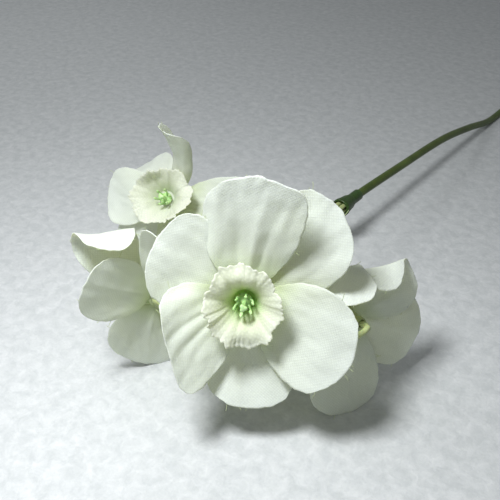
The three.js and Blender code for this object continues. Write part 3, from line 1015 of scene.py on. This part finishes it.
@dataclass
class Bloom:
    """One bloom: two layers of three petals, the cup, the stamens, the calyx and its stalk."""

    name: str
    centre: tuple[float, float, float]
    heading: float
    tilt: float
    slot: tuple[int, int]
    outer: list[Petal]
    inner: list[Petal]
    cup: Cup
    via: tuple[tuple[float, float, float], ...] = ()
    threads: int = 22
    thread_radius: float = 0.09
    thread_lengths: tuple[float, float] = (0.8, 3.0)
    disc_margin: float = 0.3
    disc_sink: float = 0.06
    stamens: Stamens = field(default_factory=Stamens)
    calyx: Calyx = field(default_factory=Calyx)

    def matrix(self) -> Matrix:
        """Works out the bloom's place and turn from its centre, heading and tilt.

        Returns:
            What takes the bloom's axes to the spray's.
        """
        heading, tilt = math.radians(self.heading), math.radians(self.tilt)
        face = Vector((
            math.sin(heading) * math.cos(tilt), -math.cos(heading) * math.cos(tilt), math.sin(tilt)))
        right = Vector((0, 0, 1)).cross(face).normalized()
        up = face.cross(right)
        turn = Matrix((right, up, face)).transposed().to_4x4()
        return Matrix.Translation(self.centre) @ turn

    def settle(self, bm: bmesh.types.BMesh, thickness: float = 0.0) -> bmesh.types.BMesh:
        """Takes a bmesh to the spray's axes and presses it flat on the surface.

        Args:
            bm: The bmesh in the bloom's axes.
            thickness: The cloth's thickness in millimetres.

        Returns:
            The same bmesh.
        """
        bmesh.ops.transform(bm, matrix=self.matrix(), verts=bm.verts)
        for vert in bm.verts:
            vert.co.z = max(vert.co.z, thickness / 2)
        return bm

    def layer(self, petals: list[Petal], height: float) -> bmesh.types.BMesh:
        """Makes three petals and the small disc that they are cut with.

        Args:
            petals: The petals.
            height: Where the layer lies on the bloom's axis.

        Returns:
            The sheets in the bloom's axes.
        """
        bm = bmesh.new()
        for petal in petals:
            add_sheet(bm, PETAL_COLUMNS, PETAL_ROWS, petal.place)

        def disc(a: float, b: float) -> tuple[Vector, tuple[float, float], float]:
            """Works out a place on the disc, as add_sheet asks for it.

            Args:
                a: Round the disc, from -1 to 1.
                b: Outwards from its hole, from -1 to 1.

            Returns:
                The point, its place on the flat cloth, and its run.
            """
            angle = (a + 1) * math.pi
            edge = HUB_RADIUS - self.disc_margin
            radius = PEG_HOLE_RADIUS + (edge - PEG_HOLE_RADIUS) * (b + 1) / 2
            spot = round_axis(radius, angle, -self.disc_sink)
            return spot, (spot.x, spot.y), 0.0

        add_sheet(bm, 40, 4, disc)
        bmesh.ops.remove_doubles(bm, verts=bm.verts, dist=1e-4)
        bmesh.ops.translate(bm, verts=bm.verts, vec=(0, 0, height))
        return bm

    def loose_threads(self) -> bmesh.types.BMesh:
        """Makes short threads that have come loose along the petals' cut margins.

        Returns:
            The threads in the bloom's axes.
        """
        draw = random.Random(self.name)
        bm = bmesh.new()
        hair = Rod(radius=self.thread_radius, sides=5)
        rim, inside = 0.985, 0.9
        petals = [(petal, OUTER_HEIGHT) for petal in self.outer]
        petals += [(petal, INNER_HEIGHT) for petal in self.inner]
        for _ in range(self.threads):
            petal, height = draw.choice(petals)
            around = math.radians(draw.uniform(-115, 115))
            a, b = math.sin(around), math.cos(around)
            reach = max(abs(a), abs(b))
            root, _, _ = petal.place(a / reach * rim, b / reach * rim)
            before, _, _ = petal.place(a / reach * inside, b / reach * inside)
            out = (root - before).normalized()
            drift = Vector((draw.uniform(-1, 1), draw.uniform(-1, 1), draw.uniform(-0.6, 0.6))) * 0.5
            long = draw.uniform(*self.thread_lengths)
            points = [
                root + Vector((0, 0, height)) + out * long * k / 5 + drift * long * (k / 5) ** 2
                for k in range(6)
            ]
            hair.build(bm, points)
        return bm

    def stalk_points(self) -> list[Vector]:
        """Leads the stalk from the calyx socket to inside the collar.

        Returns:
            Its middle, at even distances, in the spray's axes.
        """
        matrix = self.matrix()
        foot = CALYX_TOP - CALYX_LENGTH

        def behind(depth: float) -> Vector:
            """A point on the bloom's axis below the calyx."""
            return matrix @ Vector((0, 0, foot - depth))

        slot = Vector((STALK_SPACING * self.slot[0], 0, COLLAR_HEIGHT + STALK_SPACING * self.slot[1]))
        mouth = slot + Vector((0, -1, 0))
        inner = slot + Vector((0, COLLAR_LENGTH * 0.5 - 1.5, 0))
        if self.via:
            near = slot + Vector((0, -12, 0))
            way = [behind(0.5), behind(3.5), *(Vector(spot) for spot in self.via), near, mouth]
        else:
            ends = [behind(0.5), behind(18), slot + Vector((0, -45, 0)), mouth]
            way = [
                ends[0] * (1 - t) ** 3 + ends[1] * 3 * t * (1 - t) ** 2
                + ends[2] * 3 * t * t * (1 - t) + ends[3] * t**3
                for t in (i / 9 for i in range(10))
            ]
        return Route([behind(-SOCKET_DEPTH + 0.5), *way, inner]).evenly(90)

    def build(self, finishes: dict[Slot, bpy.types.Material]) -> list[bpy.types.Object]:
        """Makes the bloom's pieces.

        Args:
            finishes: The material of each slot.

        Returns:
            The pieces.
        """
        name = f"{self.name}_bloom"
        cloth, green = finishes[Slot.PETAL], finishes[Slot.CALYX]
        pieces = []
        for part, petals, height in (
                ("outer", self.outer, OUTER_HEIGHT),
                ("inner", self.inner, INNER_HEIGHT)):
            sheet = self.settle(self.layer(petals, height), CLOTH_THICKNESS)
            pieces.append(finish_piece(
                f"{name}_cloth_{part}", sheet, cloth, Slot.PETAL, (f"{name}_{part}_petals",)))
        pieces.append(finish_piece(
            f"{name}_cloth_cup", self.settle(self.cup.build(), CLOTH_THICKNESS), finishes[Slot.CUP],
            Slot.CUP, (f"{name}_cup",)))
        for piece in pieces:
            thick = piece.modifiers.new("cloth_thickness", "SOLIDIFY")
            thick.thickness = CLOTH_THICKNESS * MM
            thick.offset = 0.0
        pieces.append(finish_piece(
            f"{name}_loose_threads", self.settle(self.loose_threads()), cloth, Slot.PETAL))
        pieces.append(finish_piece(
            f"{name}_pistil_stamens", self.settle(self.stamens.build()), finishes[Slot.STAMEN],
            Slot.STAMEN, (f"{name}_stamens",)))
        pieces.append(finish_piece(
            f"{name}_ribbed_calyx", self.settle(self.calyx.build()), green, Slot.CALYX,
            (f"{name}_calyx",)))
        stalk = bmesh.new()
        Rod(radius=1.1, ridge=0.05, ridges=5).build(stalk, self.stalk_points())
        pieces.append(finish_piece(f"{name}_green_stalk", stalk, green, Slot.CALYX, (f"{name}_stalk",)))
        return pieces


@dataclass
class Collar:
    """The moulded sleeve that holds the four stalks in one end and the stem in the other."""

    radius: float = 2.9
    mouth_radius: float = 4.6
    bore: float = 3.6
    stem_socket: float = 2.45

    def build(self, finish: bpy.types.Material) -> bpy.types.Object:
        """Makes the sleeve, turned in one piece and laid along the stem.

        Args:
            finish: Its material.

        Returns:
            The piece.
        """
        middle = COLLAR_LENGTH * 0.5
        bm = turned([
            (0.0, middle - 1), (self.bore, middle - 1), (self.bore, 0.2), (self.bore + 0.2, 0.0),
            (self.mouth_radius - 0.3, 0.0), (self.mouth_radius, 0.3), (self.mouth_radius, 1.7),
            (self.mouth_radius - 0.2, 2.1), (self.radius + 0.8, middle - 1),
            (self.radius + 0.25, middle + 0.6), (self.radius, middle + 2),
            (self.radius, COLLAR_LENGTH - 0.3), (self.radius - 0.15, COLLAR_LENGTH),
            (self.stem_socket, COLLAR_LENGTH), (self.stem_socket, middle + 1), (0.0, middle + 1),
        ], 48)
        laid = Matrix.Rotation(-math.pi / 2, 3, "X")
        bmesh.ops.rotate(bm, verts=bm.verts, cent=(0, 0, 0), matrix=laid)
        bmesh.ops.translate(bm, verts=bm.verts, vec=(0, 0, COLLAR_HEIGHT))
        return finish_piece("moulded_collar", bm, finish, Slot.COLLAR, ("collar",))


@dataclass
class Stem:
    """The extruded stem, which stands off the surface at the collar and lies on it at its cut end."""

    radius: float = 2.1
    bore: float = 0.95
    wire_radius: float = 0.6
    wire_shows: float = 2.0
    flat: float = 0.15

    def route(self, extra: float = 0.0) -> Route:
        """Lays the stem's middle line.

        Args:
            extra: How far past the cut end it goes, in millimetres.

        Returns:
            The curve.
        """
        lying = self.radius - self.flat
        return Route([Vector(point) for point in (
            (0, COLLAR_LENGTH * 0.5 + 1.5, COLLAR_HEIGHT), (0, COLLAR_LENGTH + 1, COLLAR_HEIGHT),
            (0, 60, 21.6), (0, 115, 17.6), (0, 155, 10.4), (0, 190, lying + 0.7), (0, 214, lying),
            (0, STEM_LENGTH + extra, lying))])

    def build(self, finishes: dict[Slot, bpy.types.Material]) -> list[bpy.types.Object]:
        """Makes the stem and the wire in it.

        Args:
            finishes: The material of each slot.

        Returns:
            The two pieces.
        """
        tube = bmesh.new()
        Rod(radius=self.radius, sides=40, ridge=0.06, ridges=9, bore=self.bore).build(
            tube, self.route().evenly(150), floor=0.0)
        core = bmesh.new()
        Rod(radius=self.wire_radius, sides=16).build(core, self.route(self.wire_shows).evenly(150))
        return [
            finish_piece("extruded_stem", tube, finishes[Slot.STEM], Slot.STEM, ("stem",)),
            finish_piece("steel_core_wire", core, finishes[Slot.WIRE], Slot.WIRE, ("stem_wire",)),
        ]


@dataclass
class Studio:
    """The pale floor, the soft light and the camera at the photograph's angle."""

    camera_place: tuple[float, float, float] = (149.5, -257.6, 205.0)
    camera_pitch: float = 35.0
    camera_azimuth: float = 38.7
    lens: float = 50.4
    lamp_place: tuple[float, float, float] = (2.0, -200.0, 292.0)
    lamp_size: float = 80.0
    lamp_power: float = 1.2
    fill_place: tuple[float, float, float] = (-450.0, 80.0, 450.0)
    fill_size: float = 240.0
    fill_power: float = 0.5
    sky_strength: float = 0.24
    floor_size: float = 8000.0

    def build(self) -> None:
        """Makes the floor, the lights, the world and the camera."""
        self.lay_floor()
        self.light()
        data = bpy.data.cameras.new("photo_camera")
        data.lens = self.lens
        data.sensor_width = 36.0
        data.clip_start = 0.01
        camera = bpy.data.objects.new("photo_camera", data)
        camera.location = (Vector(self.camera_place) + ORIGIN) * MM
        camera.rotation_euler = (
            math.radians(90 - self.camera_pitch), 0.0, math.radians(self.camera_azimuth))
        bpy.context.scene.collection.objects.link(camera)
        bpy.context.scene.camera = camera
        bpy.context.scene.view_settings.view_transform = "Standard"

    def lay_floor(self) -> None:
        """Makes the paper that the spray lies on."""
        bm = bmesh.new()
        bmesh.ops.create_grid(bm, x_segments=8, y_segments=8, size=self.floor_size / 2 * MM)
        add_object("paper", bm, MottledPaper("pressed_paper").material())

    def light(self) -> None:
        """A soft lamp close above the blooms' left, a weaker one far behind them, and a dim sky."""
        for name, place, size, power in (
                ("softbox", self.lamp_place, self.lamp_size, self.lamp_power),
                ("fill", self.fill_place, self.fill_size, self.fill_power)):
            lamp = bpy.data.lights.new(name, "AREA")
            lamp.shape = "DISK"
            lamp.size = size * MM
            lamp.energy = power
            lamp.color = (0.99, 1.0, 1.01)
            hung = bpy.data.objects.new(name, lamp)
            hung.location = (Vector(place) + ORIGIN) * MM
            bpy.context.scene.collection.objects.link(hung)
        world = bpy.data.worlds.new("soft_sky")
        world.use_nodes = True
        sky = world.node_tree.nodes["Background"]
        sky.inputs["Color"].default_value = (0.96, 0.985, 1.0, 1.0)
        sky.inputs["Strength"].default_value = self.sky_strength
        bpy.context.scene.world = world


def finishes() -> dict[Slot, bpy.types.Material]:
    """Makes the finishes.

    Returns:
        The material of each slot of the record.
    """
    return {
        # Petal cloth: white with a pale green root, darkened towards the root partly as painted shade near
        # the cup, and olive where light comes through it
        Slot.PETAL: WovenPolyester(
            "woven_polyester_petal",
            [(0.0, "c4d4aa"), (0.16, "dce8d6"), (0.36, "ecf4f3"), (1.0, "f0f8fd")],
            through="f3f2c6", glow=0.42).material(),
        # Cup cloth: creamier, with a dyed green throat whose colour bleeds up the threads
        Slot.CUP: WovenPolyester(
            "woven_polyester_cup",
            [(0.0, "84d452"), (0.12, "9cda74"), (0.28, "d0e6b8"), (0.48, "e3ecd6"), (1.0, "eff5f1")],
            through="f4f2c8", glow=0.42, streak=0.6, streak_colour="7fb866").material(),
        Slot.STAMEN: MouldedPolyethylene(
            "moulded_polyethylene_stamen", "c0dfa3", "a2cd80", roughness=0.4, streak_mm=4.0).material(),
        Slot.CALYX: MouldedPolyethylene(
            "moulded_polyethylene_calyx", "b9c490", "98a56c", roughness=0.45).material(),
        Slot.STEM: MouldedPolyethylene(
            "extruded_polyethylene_stem", "4f6026", "3b4b17", roughness=0.4, streak_mm=14.0).material(),
        Slot.COLLAR: MouldedPolyethylene(
            "moulded_polyethylene_collar", "34521c", "263c10", roughness=0.4).material(),
        Slot.WIRE: DrawnSteel("galvanised_steel_wire").material(),
    }


def blooms() -> list[Bloom]:
    """Gives the four blooms their places and petals, which are the CAD's.

    Returns:
        The blooms.
    """
    front = Bloom(
        name="front", centre=(28.5, -109.4, 51), heading=36, tilt=20, slot=(1, 1),
        outer=[
            Petal(150, length=37, width=38, lift=5, curl=12, lean=-2.5, twist=5, seed=1.0),
            Petal(272, length=40, width=35, lift=6, curl=9, lean=2.5, seed=2.0),
            Petal(41, length=45, lift=4, curl=5, lean=4.5, twist=-3, seed=3.0, tip=0.03),
        ],
        inner=[
            Petal(88, length=46, width=39, lift=9, curl=17, lean=-4, twist=-14, belly=1, seed=4.0,
                  rolled=Side.LEFT, roll=3.0, tip=0.03,
                  creases=((-0.14, -0.8, 0.15), (0.36, 0.45, 0.2), (-0.52, 0.55, 0.14)),
                  corners=((-42, 0.07, 15), (4, 0.03, 12))),
            Petal(207, length=36, width=39, lift=20, curl=30, lean=4.5, twist=-8, belly=1, seed=5.0,
                  rolled=Side.RIGHT, roll=1.6, corners=((-18, -0.14, 36), (38, 0.08, 17)),
                  creases=((-0.3, 0.6, 0.09), (0.12, 0.5, 0.1), (0.5, 0.3, 0.16))),
            Petal(336, length=43, width=41, lift=13, curl=14, lean=-2.5, fullness=1.9, seed=6.0,
                  corners=((42, 0.05, 15), (-58, 0.04, 16))),
        ],
        cup=Cup(seed=1.0, turned_back=((102, 42, 1.6), (272, 32, 1.6))),
    )
    right = Bloom(
        name="right", centre=(51.6, -80.6, 37), heading=-112, tilt=-16, slot=(1, -1),
        via=((63, -93, 39), (50, -100, 30), (33, -97, 17), (24, -86, 9), (19, -56, 12), (8, -28, 19)),
        outer=[
            Petal(277, length=40, width=35, lift=-3, curl=-8, seed=7.0),
            Petal(154, length=33, width=45, lift=-2, curl=-4, belly=1, fold=(12.6, 132), seed=8.0),
            Petal(12, length=27, width=21, lift=-5, curl=56, belly=0, seed=9.0),
        ],
        inner=[
            Petal(83, length=35.5, width=26, lift=4, curl=-8, belly=0, fold=(13.8, 112), seed=10.0),
            Petal(213, length=40, width=34.5, lift=0, curl=-6, seed=11.0),
            Petal(334, length=29, width=26, lift=38, curl=14, seed=12.0),
        ],
        cup=Cup(seed=2.0, turned_back=((200, 20, 0.7),)),
    )
    left = Bloom(
        name="left", centre=(-9.4, -114.7, 35.3), heading=-113, tilt=-9, slot=(-1, -1),
        outer=[
            Petal(30, length=35.5, width=30, lift=-15, curl=-1, lean=2, twist=-9, seed=13.0),
            Petal(105, length=37, width=25, lift=-28, curl=-12, lean=-10, twist=-34, seed=14.0),
            Petal(228, length=38, width=34, lift=4, curl=8, seed=15.0),
        ],
        inner=[
            Petal(56, length=41, width=24.5, lift=12.5, curl=-2, twist=-7, belly=1, fold=(23.5, 113),
                  seed=16.0),
            Petal(162, length=38, width=35, lift=14, curl=14, seed=17.0),
            Petal(298, length=33.3, width=34.5, lift=13, curl=-4, lean=-7, twist=3, seed=18.0),
        ],
        cup=Cup(seed=3.0, turned_back=((30, 24, 0.8),)),
    )
    rear = Bloom(
        name="rear", centre=(-54.2, -63.7, 38.2), heading=26, tilt=38, slot=(-1, 1),
        outer=[
            Petal(355, length=44, width=33, lift=1, curl=8, lean=4, seed=19.0),
            Petal(136, length=36, width=31, lift=-30, curl=-18, lean=3, twist=10, seed=20.0),
            Petal(240, length=33, width=30, lift=-21, curl=-7, lean=-3, seed=21.0),
        ],
        inner=[
            Petal(61, length=41, width=20, lift=37, curl=42, lean=10, furl=5, seed=22.0),
            Petal(182, length=35, width=31, lift=-15, curl=-9, lean=-1, twist=-3, seed=23.0),
            Petal(302, length=40, width=34, lift=2, curl=6, seed=24.0),
        ],
        cup=Cup(seed=4.0, undyed=0.85,
                turned_back=((215, 30, 1.0), (120, 26, -1.5), (20, 24, 1.2), (300, 22, -0.9))),
    )
    return [front, right, left, rear]


def main() -> None:
    """Builds the spray and its studio."""
    logging.basicConfig(level=logging.INFO, format="%(message)s")
    materials = finishes()
    pieces = []
    for bloom in blooms():
        pieces += bloom.build(materials)
    pieces.append(Collar().build(materials[Slot.COLLAR]))
    pieces += Stem().build(materials)
    for piece in pieces:
        LOG.info("%s: %d faces", piece.name, len(piece.data.polygons))
    Studio().build()


if __name__ == "__main__":
    main()
